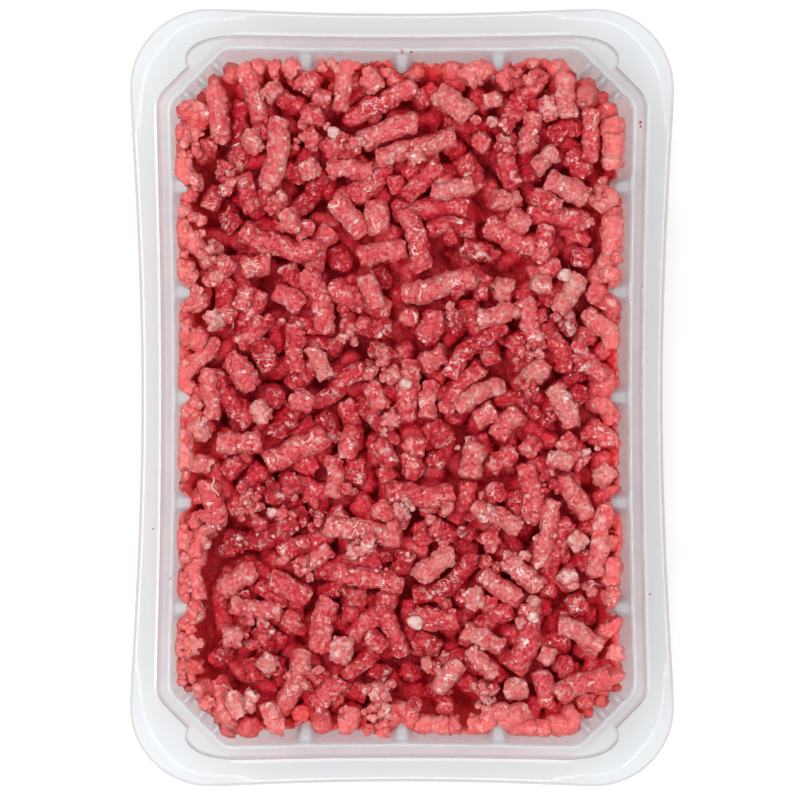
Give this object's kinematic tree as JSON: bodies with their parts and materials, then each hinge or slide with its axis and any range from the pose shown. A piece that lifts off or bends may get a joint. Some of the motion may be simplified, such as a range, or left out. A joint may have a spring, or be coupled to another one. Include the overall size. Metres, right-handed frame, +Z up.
{
  "type": "tray pack of minced meat",
  "caption": "Clear open-topped food tray with a wide flange and ribbed sloping walls, filled with raw minced meat.",
  "frame": {"origin": "centre of the tray's base, on the surface it rests on", "axes": "+Z up out of the tray's mouth, +Y along the tray's long side, +X along its short side"},
  "size_m": [0.133, 0.19, 0.045],
  "materials": {
    "tray_plastic": "clear, glossy",
    "mince": "moist raw meat"
  },
  "bodies": {
    "root": {"tray": "tray_plastic", "mince": "mince"}
  },
  "joints": []
}
